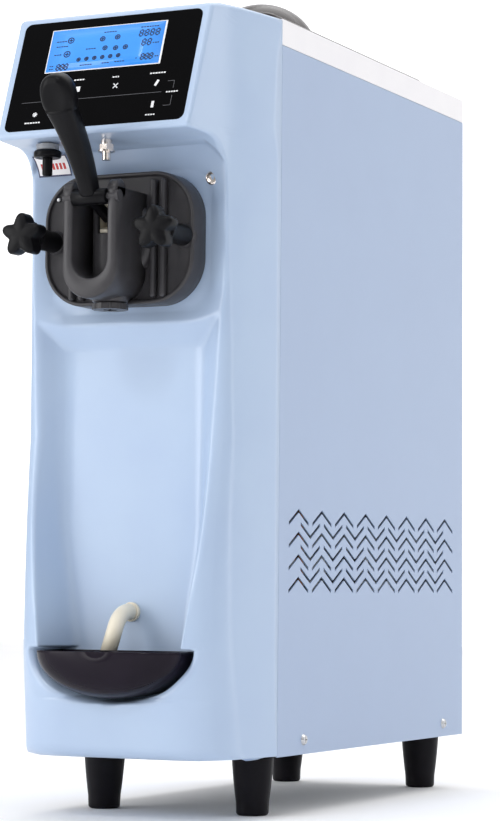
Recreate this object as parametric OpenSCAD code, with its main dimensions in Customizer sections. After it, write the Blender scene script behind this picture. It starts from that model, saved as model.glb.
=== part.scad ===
// Countertop soft-serve ice cream machine, one flavour.
// Millimetres. +X is the right-hand side seen from the front, -Y is the front, +Z is up.
// The origin is on the table, in the middle of the machine's length and width.

/* [Body] */
// Width over the two side panels
body_w = 224; // [210:1:240]
// Height from the table to the top cover
body_h = 700; // [680:1:720]
// Height of the underside of the body
body_z = 52.8; // [45:0.1:60]
// Depth of the front moulding's joint with the side panels, ahead of the origin
seam_y = 112; // [108:1:116]
// Distance of the rear face behind the origin
rear_y = 316; // [310:1:317]
// Height of the white edge of the top cover
fascia_h = 23.5; // [18:0.5:28]
// Thickness of the sheet metal
sheet_t = 1.2; // [1:0.1:1.5]
// Wall of the front moulding
shell_t = 3; // [2.5:0.1:3.5]

/* [Head and display] */
// Width of the display glass
glass_w = 176; // [160:1:178]
// Height of the display glass along its slope
glass_h = 108.2; // [100:0.1:109]
// Slope of the display glass from upright
glass_tilt = 19.44; // [15:0.01:22]
// Thickness of the display glass
glass_t = 3; // [2:0.1:3.2]
// Height of the glass's lower edge
glass_z = 589; // [588:0.5:590]
// Distance of the glass's lower edge ahead of the origin
glass_y = 252; // [250:0.5:253]

/* [Dispensing head] */
// Height of the freezing cylinder's axis
axis_z = 498; // [494:0.5:502]
// Width of the dispensing head
door_w = 147; // [140:1:150]
// Height of the dispensing head
door_h = 115; // [110:1:118]
// Corner radius of the dispensing head
door_r = 40; // [30:1:45]
// Distance of the moulding's face ahead of the origin
face_y = 180; // [178:0.5:182]
// Thickness of the dispensing head's rim
door_t = 24; // [20:0.5:26]
// Distance of the spout's axis ahead of the origin
spout_y = 216; // [214:0.5:218]
// Radius of the valve bore
valve_r = 12; // [11:0.1:13]

/* [Lever] */
// Height of the lever's pivot
lever_z = 528; // [526:0.5:530]
// Distance of the lever's pivot ahead of the origin
lever_y = 252; // [250:0.5:254]
// Radius of the pivot pin
pin_r = 3; // [2.5:0.1:4]
// Reach of the lever's paddle ahead of the origin, and of the rear fittings behind it
reach = 320; // [319:0.5:321]

/* [Star knobs] */
// Distance of each knob from the middle
knob_x = 64; // [62:0.5:66]
// Radius over the lobes
knob_r = 17.5; // [15:0.5:19]
// Radius of the stud
stud_r = 4; // [3:0.5:5]

/* [Drip tray] */
// Half width of the tray's rim
tray_hw = 78; // [70:1:80]
// Height of the tray's rim
tray_z = 144; // [140:1:146]
// Depth of the tray below its rim
tray_d = 40; // [34:1:41]

/* [Vents] */
// Distance between neighbouring chevrons in a row
vent_pitch_y = 48.62; // [47:0.01:50]
// Distance between neighbouring rows
vent_pitch_z = 19.8; // [19:0.1:21]
// Height of one chevron
vent_rise = 11.6; // [10:0.1:12]
// Width of a chevron's slot, measured upright
vent_slot = 3.4; // [2.5:0.1:4]

/* [Feet] */
// Radius at the top of a foot
foot_r1 = 18.5; // [16:0.5:20]
// Radius at the sole of a foot
foot_r2 = 14.3; // [12:0.1:16]

/* [Freezing cylinder] */
// Inner radius of the cylinder
barrel_r = 45; // [40:1:46]
// Wall of the cylinder
barrel_t = 3; // [2:0.5:3]
// Distance of the cylinder's back end behind the origin
barrel_y = 62; // [60:1:70]

/* [Drive] */
// Height of the motor's axis
motor_z = 330; // [325:1:335]
// Radius of the motor
motor_r = 50; // [45:1:52]
// Pitch radius of the gearbox's pulley
pulley_r1 = 42; // [38:1:44]
// Pitch radius of the motor's pulley
pulley_r2 = 14; // [12:1:18]

/* [Hidden] */

$fn = 48;
hw = body_w / 2;
gap = 0.4;
panel_z1 = body_h - fascia_h;
lip_r = 3.5;
bay_y = 170;
bay_back_hw = 66;
bay_z1 = 403;
plate_y = face_y + 21;
door_y = face_y + door_t;
pulley_y = 152;
bolt_y = 226;
toggle_x = 57.5;
toggle_y = 228;
fan_y = 226;
fan_z = 160;
ivory = "ivory";
powder_blue = "#BED0E8";
panel_blue = "#B4C6E0";
charcoal = "#2B2C2E";
steel = "#C4C7CB";
copper = "#B87344";

// Points of a curve from a to c that leans towards b
function curve(a, b, c, n) =
    [for (i = [0:n]) let (t = i / n) (1 - t) * (1 - t) * a + 2 * t * (1 - t) * b + t * t * c];
// Points of an arc about c
function arc(c, r, a0, a1, n) =
    [for (i = [0:n]) let (a = a0 + (a1 - a0) * i / n) c + r * [cos(a), sin(a)]];
// A right-hand outline closed by its mirror image
function both_sides(p) =
    concat(p, [for (i = [len(p) - 1:-1:0]) [-p[i][0], p[i][1]]]);

// Extrudes an outline drawn in (y, z) from x0 to x1
module along_x(x0, x1)
    translate([x0, 0, 0]) rotate([90, 0, 90]) linear_extrude(x1 - x0) children();
// Extrudes an outline drawn in (x, z) from y0 to y1
module along_y(y0, y1)
    translate([0, y1, 0]) rotate([90, 0, 0]) linear_extrude(y1 - y0) children();
// A round bar along X, Y or Z
module bar_x(x0, x1, y, z, r) translate([x0, y, z]) rotate([0, 90, 0]) cylinder(r = r, h = x1 - x0);
module bar_y(y0, y1, x, z, r) translate([x, y1, z]) rotate([90, 0, 0]) cylinder(r = r, h = y1 - y0);
module bar_z(z0, z1, x, y, r) translate([x, y, z0]) cylinder(r = r, h = z1 - z0);
// A box between two corners
module block(a, b) translate(a) cube(b - a);
// A flat outline with rounded corners, from a to b
module rounded(a, b, r) {
    translate([a[0] + r, a[1]]) square([b[0] - a[0] - 2 * r, b[1] - a[1]]);
    translate([a[0], a[1] + r]) square([b[0] - a[0], b[1] - a[1] - 2 * r]);
    for (x = [a[0] + r, b[0] - r], y = [a[1] + r, b[1] - r]) translate([x, y]) circle(r);
}
// Places a child in the display's own plane: x across, y up the slope, z outwards
module on_glass() translate([0, -glass_y, glass_z]) rotate([90 - glass_tilt, 0, 0]) children();

// ---- Front moulding ----
shell_plan = both_sides(concat(
    [[hw, -seam_y]],
    curve([hw, -seam_y], [106, -150], [97, -186], 8),
    curve([94.5, -246], [94, -254], [86, -254], 4)));
cavity_plan = both_sides([[hw - shell_t, -100], [hw - shell_t, -seam_y], [103, -145], [94, -183], [91, -248]]);
shell_profile = concat(
    [[-seam_y, body_z]],
    arc([-193, body_z + 12], 12, 270, 180, 6),
    curve([-213, tray_z], [-206, 240], [-190, 330], 8),
    curve([-188, 400], [-188, 480], [-190, 540], 3),
    curve([-190, 548], [-191, 580], [-220, 581.4], 8),
    arc([-249.4, glass_z - 3.1], lip_r, 270, 180 - glass_tilt, 4),
    curve([-215.2, 693], [-212.5, 699], [-172, body_h], 5),
    [[-seam_y, body_h]]);
cavity_profile = [[-100, body_z + 3], [-192, body_z + 3], [-200, 66], [-201, 94], [-bay_y + 3, 94],
    [-bay_y + 3, bay_z1 + 2], [-face_y + 3, 436], [-face_y + 3, 562], [-192, 587], [-245, 588],
    [-209.5, body_h - 8], [-200, body_h - 3], [-100, body_h - 3]];

module tray_outline(extra)
    intersection() {
        translate([0, tray_z]) scale([1, (tray_d + extra) / (tray_hw + extra)])
            circle(tray_hw + extra, $fn = 12 * 8);
        translate([-100, 60]) square([200, tray_z - 60]);
    }

module bay_space()
    hull() {
        block([-bay_back_hw, -bay_y, 150], [bay_back_hw, -bay_y + 0.01, bay_z1]);
        block([-60, -bay_y, tray_z], [60, -bay_y + 0.01, 150]);
        block([-134, -214, 524], [134, -213.99, 525]);
        block([-tray_hw, -214, tray_z], [tray_hw, -213.99, tray_z + 1]);
    }

module front_shell()
    color(powder_blue) difference() {
        union() {
            difference() {
                intersection() {
                    along_x(-hw, hw) polygon(shell_profile);
                    linear_extrude(body_h) polygon(shell_plan);
                }
                intersection() {
                    along_x(-hw, hw) polygon(cavity_profile);
                    linear_extrude(body_h) polygon(cavity_plan);
                }
            }
            along_y(-204, -bay_y + 3) tray_outline(4);
        }
        bay_space();
        along_y(-230, -bay_y) tray_outline(0.6);
        // Flat face around the dispensing head
        along_y(-230, -face_y) rounded([-90, 400], [90, 560], 10);
        // Cylinder mouth, stud holes, face screw, drain
        bar_y(-190, -170, 0, axis_z, barrel_r + barrel_t + 1);
        for (x = [-knob_x, knob_x]) bar_y(-190, -170, x, axis_z, stud_r + 0.6);
        bar_y(-190, -170, 80, 550, 2.8);
        bar_y(-176, -160, 0, 177, 7.3);
        // Display pocket and window
        on_glass() {
            translate([-glass_w / 2 - 0.3, -0.3, -glass_t - 0.3]) linear_extrude(12)
                rounded([0, 0], [glass_w + 0.6, glass_h + 0.6], 7);
            block([-64.5, 51, -12], [60.5, 105, 0]);
        }
        // Holes in the head's floor
        bar_z(575, 600, 0, -bolt_y, 4.1);
        bar_z(575, 600, -toggle_x, -toggle_y, 5.3);
    }

// ---- Sheet-metal casing ----
// Upright stroke pattern of the side vents
module chevron(tip_y, tip_z, way)
    polygon([[tip_y - 20.3, tip_z - way * vent_rise], [tip_y, tip_z], [tip_y + 20.3, tip_z - way * vent_rise],
        [tip_y + 20.3, tip_z - way * vent_rise - vent_slot], [tip_y, tip_z - vent_slot],
        [tip_y - 20.3, tip_z - way * vent_rise - vent_slot]]);

module side_sheet()
    along_x(0, sheet_t) difference() {
        translate([-seam_y + gap, body_z]) square([rear_y + seam_y - gap, panel_z1 - body_z]);
        for (row = [0:3], col = [0:7])
            chevron(-71.2 + vent_pitch_y * col, 268.2 - vent_pitch_z * row, 1);
        for (row = [0:2], col = [0:6])
            chevron(-46.9 + vent_pitch_y * col, 245.2 - vent_pitch_z * row, -1);
        for (y = [-58.5, 265.7]) translate([y, 65.5]) circle(2.2);
    }

module right_side_panel() color(panel_blue) translate([hw - sheet_t, 0, 0]) side_sheet();
module left_side_panel() color(panel_blue) translate([-hw, 0, 0]) side_sheet();

module back_panel()
    color(panel_blue) along_y(rear_y - sheet_t, rear_y) difference() {
        translate([-hw + sheet_t + gap, body_z]) square([body_w - 2 * sheet_t - 2 * gap, panel_z1 - body_z]);
        for (row = [0:15]) translate([-80, 80 + 11 * row]) square([160, 5]);
        for (row = [0:5]) translate([-60, 540 + 11 * row]) square([120, 5]);
        translate([-76.5, 318]) square([27.4, 24.4]);
        translate([-26.2, 320.5]) square([19.4, 25.9]);
        for (x = [-100, 100], z = [66, 360, 660]) translate([x, z]) circle(2.2);
    }

module top_cover()
    color("#EEEEF0") difference() {
        block([-hw, -seam_y + gap, panel_z1 + gap], [hw, rear_y, body_h]);
        block([-hw + 2.5, -seam_y - 1, panel_z1 - 1], [hw - 2.5, rear_y - 2.5, body_h - 2.5]);
        linear_extrude(body_h + 1) rounded([-81, -91], [81, 246], 14);
    }

module base_pan()
    color(steel) difference() {
        block([-hw + 2, -seam_y + 6, body_z], [hw - 2, rear_y - 2, body_z + 24]);
        block([-hw + 4, -seam_y + 8, body_z + 2], [hw - 4, rear_y - 4, body_z + 30]);
        for (x = [-74.5, 74.5], y = [-83.3, 296]) bar_z(body_z - 1, body_z + 3, x, y, 4.2);
        for (x = [-80, 0], y = [-70, 30]) bar_z(body_z - 1, body_z + 3, x, y, 3.2);
        for (y = [-58.5, 265.7]) bar_x(-hw, hw, y, 65.5, 2.1);
        for (x = [-100, 100]) bar_y(rear_y - 8, rear_y, x, 66, 2.1);
    }

module inner_frame()
    color(steel) {
        for (s = [-1, 1], front = [true, false]) mirror([s < 0 ? 1 : 0, 0, 0]) difference() {
            block([92, front ? -100 : 296, body_z + 2.2], [106, front ? -88 : 308, 590]);
            block([90, front ? -97.5 : 290, body_z], [103.5, front ? -80 : 305.5, 600]);
        }
        for (s = [-1, 1]) block([s > 0 ? 94 : -106, -88, 392], [s > 0 ? 106 : -94, 296, 398]);
        for (s = [-1, 1]) block([s > 0 ? 94 : -106, -88, 582], [s > 0 ? 106 : -94, 296, 590]);
        block([-94, 70, 392], [94, 142, 398]);
        block([-94, -60, 392], [94, -40, 398]);
        difference() {
            block([-81, -56, 398], [81, -44, 480]);
            bar_y(-60, -40, 0, axis_z, 79);
        }
    }

module feet()
    color("#1E1B24") for (x = [-74.5, 74.5], y = [-83.3, 296]) translate([x, y, 0])
        rotate_extrude() polygon(concat([[0, 0]],
            arc([foot_r2 - 3, 3], 3, 270, 360, 5),
            curve([foot_r2 + 0.4, 12], [foot_r1 - 1.2, 30], [foot_r1, 50], 6),
            [[foot_r1 - 1, body_z], [4, body_z], [4, body_z + 8], [0, body_z + 8]]));

module side_screws()
    color("#B08A5A") for (s = [-1, 1], y = [-58.5, 265.7]) translate([s * hw, y, 65.5])
        rotate([0, s * 90, 0]) difference() {
            union() {
                cylinder(r1 = 5, r2 = 3.6, h = 2.2);
                translate([0, 0, -6]) cylinder(r = 2, h = 6);
            }
            for (a = [0, 90]) rotate([0, 0, a]) translate([-2.8, -0.5, 1.2]) cube([5.6, 1, 2]);
        }

module rear_screws()
    color(steel) for (x = [-100, 100], z = [66, 360, 660]) translate([x, rear_y, z]) rotate([-90, 0, 0]) {
        cylinder(r1 = 4.2, r2 = 3, h = 1.8);
        translate([0, 0, -5]) cylinder(r = 2, h = 5);
    }

// ---- Hopper ----
module hopper()
    color(steel) difference() {
        union() {
            translate([0, 0, 600]) linear_extrude(body_h - 600) rounded([-80, -90], [80, 245], 13);
            translate([0, 0, body_h]) linear_extrude(1.2) rounded([-88, -98], [88, 256], 16);
            bar_z(549.5, 602, 0, -60, 13);
        }
        translate([0, 0, 601.2]) linear_extrude(110) rounded([-78.8, -88.8], [78.8, 243.8], 12);
        bar_z(540, 604, 0, -60, 10);
    }

module air_tube()
    color(ivory) difference() {
        union() {
            bar_z(575, 688, 0, -60, 8);
            bar_z(575, 582, 0, -60, 9.8);
        }
        bar_z(570, 690, 0, -60, 5);
        bar_x(-20, 20, -60, 606, 2.5);
    }

lid_dome_y = 74;
lid_dome_r = 54;
lid_dome_h = 48;
// Half outline of an upright dome
function dome(r, h, n) = [for (i = [0:n]) [r * cos(90 * i / n), h * sin(90 * i / n)]];

module hopper_lid()
    color([0.12, 0.07, 0.07, 0.9]) difference() {
        union() {
            translate([0, 0, body_h + 1.5]) linear_extrude(10.5) rounded([-93, -103], [93, 266], 20);
            translate([0, lid_dome_y, body_h + 12]) rotate_extrude()
                polygon(concat([[0, 0]], dome(lid_dome_r, lid_dome_h, 12)));
        }
        translate([0, 0, body_h]) linear_extrude(9) rounded([-90.5, -100.5], [90.5, 263.5], 18);
        translate([0, lid_dome_y, body_h + 8]) rotate_extrude()
            polygon(concat([[0, 0]], dome(lid_dome_r - 3, lid_dome_h + 1, 12)));
    }

// ---- Drip tray ----
// One upright slice of the tray's front, at a distance ahead of the origin
module tray_slice(y, k) along_y(-y, -y + 0.2)
    intersection() {
        translate([0, tray_z]) scale([1, tray_d / tray_hw]) circle(tray_hw * k, $fn = 64);
        translate([-100, 60]) square([200, tray_z - 60]);
    }

module drip_tray()
    color("#241C2C") difference() {
        hull() {
            tray_slice(171.5, 1);
            for (a = [0:15:75]) tray_slice(207 + 27 * sin(a), sqrt(cos(a)));
            tray_slice(234, 0.3);
        }
        hull() {
            along_y(-206, -174) intersection() {
                translate([0, tray_z + 1]) scale([1, (tray_d - 2) / (tray_hw - 3)])
                    circle(tray_hw - 3, $fn = 64);
                translate([-100, 60]) square([200, 90]);
            }
            along_y(-228, -227) intersection() {
                translate([0, tray_z + 1]) scale([1, (tray_d - 2) / (tray_hw - 3)])
                    circle((tray_hw - 3) * 0.4, $fn = 64);
                translate([-100, 60]) square([200, 90]);
            }
        }
    }

module drain_tube()
    color(ivory) difference() {
        drain_path(7);
        drain_path(4.5);
        block([-20, -240, 120], [20, -150, tray_z + 0.8]);
    }
// Straight out of the wall, round a 60 degree bend that is drawn a touch thinner, then down
module drain_path(r) {
    bar_y(-178.6, -155, 0, 177, r);
    if (r > 5) bar_y(-174.5, -170.2, 0, 177, 8.4);
    translate([0, -178, 153]) rotate([0, -90, 0])
        rotate_extrude(angle = -60) translate([24, 0]) circle(r - 0.2);
    translate([0, -178 - 24 * sin(60), 153 + 24 * cos(60)]) rotate([150, 0, 0])
        translate([0, 0, -0.6]) cylinder(r = r, h = 32);
}

// ---- Display ----
module display_glass()
    color("#07080A") on_glass() translate([-glass_w / 2, 0, -glass_t]) linear_extrude(glass_t)
        rounded([0, 0], [glass_w, glass_h], 6.7);
module lcd_module() color("#5AA5F5") on_glass() block([-63, 53.5, -10], [59, 102.5, -glass_t - 0.1]);
module control_board()
    color("darkgreen") on_glass() {
        block([-75, 8, -13.5], [75, 96, -11.9]);
        for (x = [-60, 0, 56]) block([x - 5, 14, -11.9], [x + 5, 24, -10]);
        block([-20, 60, -19], [12, 84, -13.5]);
    }

// ---- Dispensing head ----
module door_outline(inset)
    rounded([-door_w / 2 + inset, axis_z - door_h / 2 + inset],
        [door_w / 2 - inset, axis_z + door_h / 2 - inset], door_r - inset);
// U-shaped bracket outline, ho is the outer half width and zb its lowest point
module u_outline(ho, zb, zt) {
    translate([-ho, zb + ho]) square([2 * ho, zt - zb - ho]);
    translate([0, zb + ho]) circle(ho);
}

module dispensing_head()
    color(charcoal) difference() {
        union() {
            difference() {
                along_y(-door_y, -face_y) door_outline(0);
                along_y(-door_y - 1, -plate_y) door_outline(3.5);
            }
            // Ribs on the plate
            for (s = [-1, 1], x = [[33.5, 37.5], [43, 47]])
                block([s > 0 ? x[0] : -x[1], -plate_y - 3, 446], [s > 0 ? x[1] : -x[0], -plate_y, 548]);
            // Round boss that the valve stands on
            translate([0, -plate_y + 1, axis_z]) rotate([90, 0, 0]) rotate_extrude()
                polygon(concat([[0, 0], [37, 0], [37, 1]], arc([30, 1], 7, 0, 90, 5), [[0, 8]]));
            // Bosses behind the knobs
            for (x = [-knob_x, knob_x]) bar_y(-door_y, -plate_y, x, axis_z, 10);
            // U bracket and valve housing
            along_y(-lever_y - 2, -plate_y) difference() {
                u_outline(26, 441.4, lever_z);
                u_outline(17, 458.5, lever_z + 20);
            }
            for (s = [-1, 1]) bar_x(s > 0 ? 17 : -26, s > 0 ? 26 : -17, -lever_y + 6.5, lever_z, 8.5);
            bar_z(441.4, 531, 0, -spout_y, 15.5);
            bar_z(437.4, 441.5, 0, -spout_y, 12.2);
        }
        // Valve bore, outlet and the passage from the cylinder
        bar_z(446, 560, 0, -spout_y, valve_r);
        bar_z(430, 450, 0, -spout_y, 9);
        bar_y(-spout_y, -plate_y + 6, 0, 463, 8);
        bar_y(-plate_y + 5, -face_y + 1, 0, axis_z, barrel_r - 1);
        // Window for the lever's toe
        block([-6, -236, 500], [6, -222, 560]);
        // Seal groove, stud holes, pivot holes
        translate([0, -face_y + 1, 0]) difference() {
            bar_y(-3.6, 0, 0, axis_z, 50.2);
            bar_y(-4, 1, 0, axis_z, 45.8);
        }
        for (x = [-knob_x, knob_x]) bar_y(-door_y - 1, -170, x, axis_z, stud_r + 0.5);
        bar_x(-30, 30, -lever_y, lever_z, pin_r + 0.05);
    }

module head_seal()
    color("#D8D4C8") translate([0, -face_y - 0.05, axis_z]) rotate([90, 0, 0]) rotate_extrude()
        translate([46, 0]) square([4, 2.4]);

module valve_plunger()
    color(ivory) difference() {
        bar_z(450, lever_z - 0.5, 0, -spout_y, valve_r - 0.05);
        // Flared slot for the lever's toe
        translate([0, 0, lever_z - toe_len * sin(toe_angle)]) along_x(-5.5, 5.5)
            polygon([[-231, 11], [-221, 6.5], [-207, 5], [-207, -5], [-221, -6.5], [-231, -11]]);
        for (z = [456, 476]) translate([0, -spout_y, z]) difference() {
            cylinder(r = valve_r + 1, h = 3);
            translate([0, 0, -1]) cylinder(r = valve_r - 2.2, h = 5);
        }
    }

module plunger_rings()
    color("#3A3A3A") for (z = [456, 476]) translate([0, -spout_y, z + 1.5]) rotate_extrude()
        translate([valve_r - 1.15, 0]) circle(1.05);

// Middle line of the lever's neck in (y, z), as a point and as a unit normal
neck_a = [-lever_y, lever_z];
neck_b = [-262, 566];
neck_c = [-302, 601];
function neck_point(t) = (1 - t) * (1 - t) * neck_a + 2 * t * (1 - t) * neck_b + t * t * neck_c;
function neck_normal(t) =
    let (d = (1 - t) * (neck_b - neck_a) + t * (neck_c - neck_b)) [-d[1], d[0]] / norm(d);
toe_angle = 25;
toe_len = 36;
paddle_tilt = 24;

module lever()
    color(charcoal) difference() {
        union() {
            bar_x(-16.6, 16.6, -lever_y, lever_z, 6.85);
            along_x(-6.5, 6.5) polygon(concat(
                [for (i = [0:10]) neck_point(i / 10) + 6 * neck_normal(i / 10)],
                [for (i = [10:-1:0]) neck_point(i / 10) - 6 * neck_normal(i / 10)]));
            // Paddle, an oval of revolution
            translate([0, -307.6, 606]) rotate([paddle_tilt, 0, 0]) rotate_extrude()
                polygon([for (i = [0:24]) [12 * sin(7.5 * i), -18.5 * cos(7.5 * i)]]);
            // Toe that lifts the plunger
            along_x(-4.5, 4.5) translate([-lever_y, lever_z]) rotate(-toe_angle) {
                polygon([[0, -5], [toe_len, -3.6], [toe_len, 3.6], [0, 5]]);
                translate([toe_len, 0]) circle(3.6);
            }
        }
        bar_x(-20, 20, -lever_y, lever_z, pin_r + 0.05);
        block([-20, -reach - 20, 560], [20, -reach, 640]);
    }

module pivot_pin()
    color(steel) {
        bar_x(-26.5, 26.5, -lever_y, lever_z, pin_r);
        bar_x(26, 28.5, -lever_y, lever_z, 5);
    }

// Five rounded lobes on a long neck, turned about its stud
module star_knob()
    color(charcoal) difference() {
        union() {
            along_y(-260, -246) {
                circle(12.5);
                for (i = [0:4]) rotate([0, 0, 90 + 72 * i]) {
                    translate([knob_r - 5.5, 0]) circle(5.5);
                    translate([0, -5.5]) square([knob_r - 5.5, 11]);
                }
            }
            bar_y(-246.5, -door_y - 0.4, 0, 0, 9.5);
        }
        bar_y(-242, -200, 0, 0, stud_r + 0.05);
    }
module right_star_knob() translate([knob_x, 0, axis_z]) star_knob();
module left_star_knob() translate([-knob_x, 0, axis_z]) star_knob();

module knob_studs() color(steel) for (x = [-knob_x, knob_x]) bar_y(-240, -171.9, x, axis_z, stud_r);

module nozzle_cap()
    color(charcoal) difference() {
        union() {
            bar_z(435, 440.1, 0, -spout_y, 15);
            for (a = [0:30:330]) translate([0, -spout_y, 435]) rotate([0, 0, a]) translate([14.4, 0, 0])
                cylinder(r = 1.1, h = 5.1);
        }
        bar_z(437.1, 442, 0, -spout_y, 12.25);
        translate([0, -spout_y, 430]) linear_extrude(20)
            polygon([for (i = [0:11]) let (r = i % 2 == 0 ? 8 : 4.6) r * [cos(30 * i), sin(30 * i)]]);
    }

// ---- Freezing cylinder ----
module freezing_cylinder()
    color(steel) difference() {
        union() {
            bar_y(-face_y + 0.2, barrel_y, 0, axis_z, barrel_r + barrel_t);
            along_y(-176.6, -172) rounded([-74, axis_z - 40], [74, axis_z + 40], 20);
        }
        bar_y(-face_y - 5, barrel_y - 4, 0, axis_z, barrel_r);
        bar_y(50, 70, 0, axis_z, 14);
        bar_z(530, 560, 0, -60, 8);
        for (x = [-knob_x, knob_x]) bar_y(-180, -171.9, x, axis_z, stud_r + 0.05);
    }

module evaporator_coil()
    color(copper) {
        // Turns at each side of the hopper's feed neck
        for (y = [-146:18:34]) if (abs(y + 60) > 17) translate([0, y, axis_z]) rotate([90, 0, 0])
            rotate_extrude() translate([barrel_r + barrel_t + 3.3, 0]) circle(3);
        bar_y(-146, 34, 0, axis_z - barrel_r - barrel_t - 3.3, 2.8);
    }

module insulation_jacket()
    color("#E8E2C8") difference() {
        bar_y(-164, barrel_y + 4, 0, axis_z, 76);
        bar_y(-170, barrel_y + 10, 0, axis_z, barrel_r + barrel_t + 7);
        bar_z(530, 590, 0, -60, 13.6);
    }

module beater()
    color(steel) {
        bar_y(-172, 88, 0, axis_z, 6);
        bar_y(-175, -172, 0, axis_z, 9);
        // Scraper bars held by cross arms
        for (a = [0, 180]) translate([0, 0, axis_z]) rotate([0, a, 0])
            block([37.5, -170, -4], [43.5, 52, 4]);
        for (y = [-165, -111, -57, -3, 46]) translate([0, y, axis_z]) rotate([0, 0, 0])
            block([-40, -3, -3], [40, 3, 3]);
        // Spiral flight
        translate([0, -168, axis_z]) rotate([-90, 0, 0]) linear_extrude(216, twist = 900, slices = 90)
            translate([-36, -1.6]) square([72, 3.2]);
    }

module shaft_seal()
    color("#3A3A3A") translate([0, barrel_y - 4, axis_z]) rotate([-90, 0, 0]) difference() {
        cylinder(r = 13.9, h = 8);
        translate([0, 0, -1]) cylinder(r = 6.06, h = 10);
    }

module gearbox()
    color("#5E6468") difference() {
        union() {
            along_y(78, 138) rounded([-42, 452], [42, 544], 16);
            bar_y(70.5, 78, 0, axis_z, 24);
            for (x = [-50, 50]) block([x - 12, 84, 398.2], [x + 12, 132, 406]);
            for (x = [-42, 34]) block([x, 84, 398.2], [x + 8, 132, 460]);
        }
        // Gear chamber, open underneath
        block([-33, 93, 440], [33, 123, 530]);
        bar_y(60, 90, 0, axis_z, 6.1);
        bar_y(125, 145, 0, axis_z, 6.06);
    }

// Grooved pulley with a hub, on its own shaft
module pulley(r, z, y0, y1, shaft_r)
    color("#6F757A") translate([0, 0, z]) rotate([90, 0, 0]) {
        translate([0, 0, -pulley_y - 8]) rotate_extrude()
            polygon([[0, 0], [r + 3, 0], [r + 3, 2], [r - 3, 5], [r - 3, 11], [r + 3, 14], [r + 3, 16], [0, 16]]);
        translate([0, 0, -y1]) cylinder(r = shaft_r, h = y1 - y0);
    }
module gearbox_pulley() pulley(pulley_r1, axis_z, 126, 164, 6);
module motor_pulley() pulley(pulley_r2, motor_z, 116, 164, 6);

module motor()
    color("#4A4E54") difference() {
        union() {
            bar_y(-20, 120, 0, motor_z, motor_r);
            bar_y(-28, -20, 0, motor_z, motor_r - 8);
            bar_y(120, 128, 0, motor_z, 22);
            for (a = [0:30:330]) translate([0, 50, motor_z]) rotate([0, a, 0])
                block([motor_r - 1, -55, -1.5], [motor_r + 4, 55, 1.5]);
            for (y = [0, 90]) block([-40, y, motor_z + 40], [40, y + 20, 391.8]);
        }
        // Air gap round the rotor, with its vents
        difference() {
            bar_y(-14, 110, 0, motor_z, motor_r - 6);
            bar_y(-16, 112, 0, motor_z, 24);
        }
        for (a = [0:60:300]) translate([0, 0, motor_z]) rotate([0, a, 0]) bar_y(-30, -10, 33, 0, 5);
        bar_y(112, 130, 0, motor_z, 6.06);
    }

module drive_belt()
    color("#222222") along_y(pulley_y - 3, pulley_y + 3) difference() {
        hull() {
            translate([0, axis_z]) circle(pulley_r1 + 1.4);
            translate([0, motor_z]) circle(pulley_r2 + 1.4);
        }
        hull() {
            translate([0, axis_z]) circle(pulley_r1 - 2.4);
            translate([0, motor_z]) circle(pulley_r2 - 2.4);
        }
    }

// ---- Refrigeration ----
comp_x = -40;
comp_y = -20;
module compressor()
    color("#1C1D1F") {
        translate([comp_x, comp_y, 66]) rotate_extrude() polygon(concat([[0, 0], [40, 0]],
            arc([44, 14], 10, 270, 360, 4), arc([44, 92], 10, 0, 90, 4),
            curve([40, 108], [24, 128], [0, 130], 5)));
        for (x = [-80, 0], y = [-70, 30]) bar_z(66, 69, x, y, 10);
        block([-80, -76, 66], [0, -64, 69]);
        block([-80, 24, 66], [0, 36, 69]);
        bar_z(66, 74, comp_x, comp_y, 50);
    }
module compressor_mounts()
    color("#2A2A2A") for (x = [-80, 0], y = [-70, 30]) {
        bar_z(54.9, 65.9, x, y, 8);
        bar_z(69.1, 72, x, y, 6);
    }
module condenser()
    color("#A9AEB2") {
        for (x = [-88:8:88]) block([x - 0.6, 262, 70], [x + 0.6, 302, 250]);
        for (z = [85:25:235], y = [272, 292]) bar_x(-92, 92, y, z, 4);
        for (s = [-1, 1]) block([s > 0 ? 90 : -91.5, 258, 66], [s > 0 ? 91.5 : -90, 306, 254]);
    }
module fan_shroud()
    color("#25272A") difference() {
        block([-90, 240, 66], [90, 257.5, 254]);
        block([-87, 244, 69], [87, 258, 251]);
        bar_y(230, 260, 0, fan_z, 79);
    }
module fan_blade()
    color("#30343A") {
        difference() {
            bar_y(fan_y - 2, fan_y + 16, 0, fan_z, 18);
            bar_y(fan_y - 4, fan_y + 12, 0, fan_z, 3.06);
        }
        for (i = [0:4]) translate([0, fan_y + 7, fan_z]) rotate([0, 72 * i, 0])
            translate([16, 0, 0]) rotate([32, 0, 0]) block([0, -1, -17], [58, 1, 17]);
    }
module fan_motor()
    color("#3C4046") {
        bar_y(176, 218, 0, fan_z, 30);
        bar_y(218, fan_y + 11, 0, fan_z, 3);
        for (s = [-1, 1]) block([s > 0 ? 29 : -86, 192, fan_z - 5], [s > 0 ? 86 : -29, 197, fan_z + 5]);
        for (s = [-1, 1]) block([s > 0 ? 83 : -86, 197, fan_z - 5], [s > 0 ? 86 : -83, 239.8, fan_z + 5]);
    }
module filter_drier()
    color(copper) {
        bar_y(90, 150, -80, 100, 10);
        bar_y(60, 180, -80, 100, 3);
    }
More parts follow.
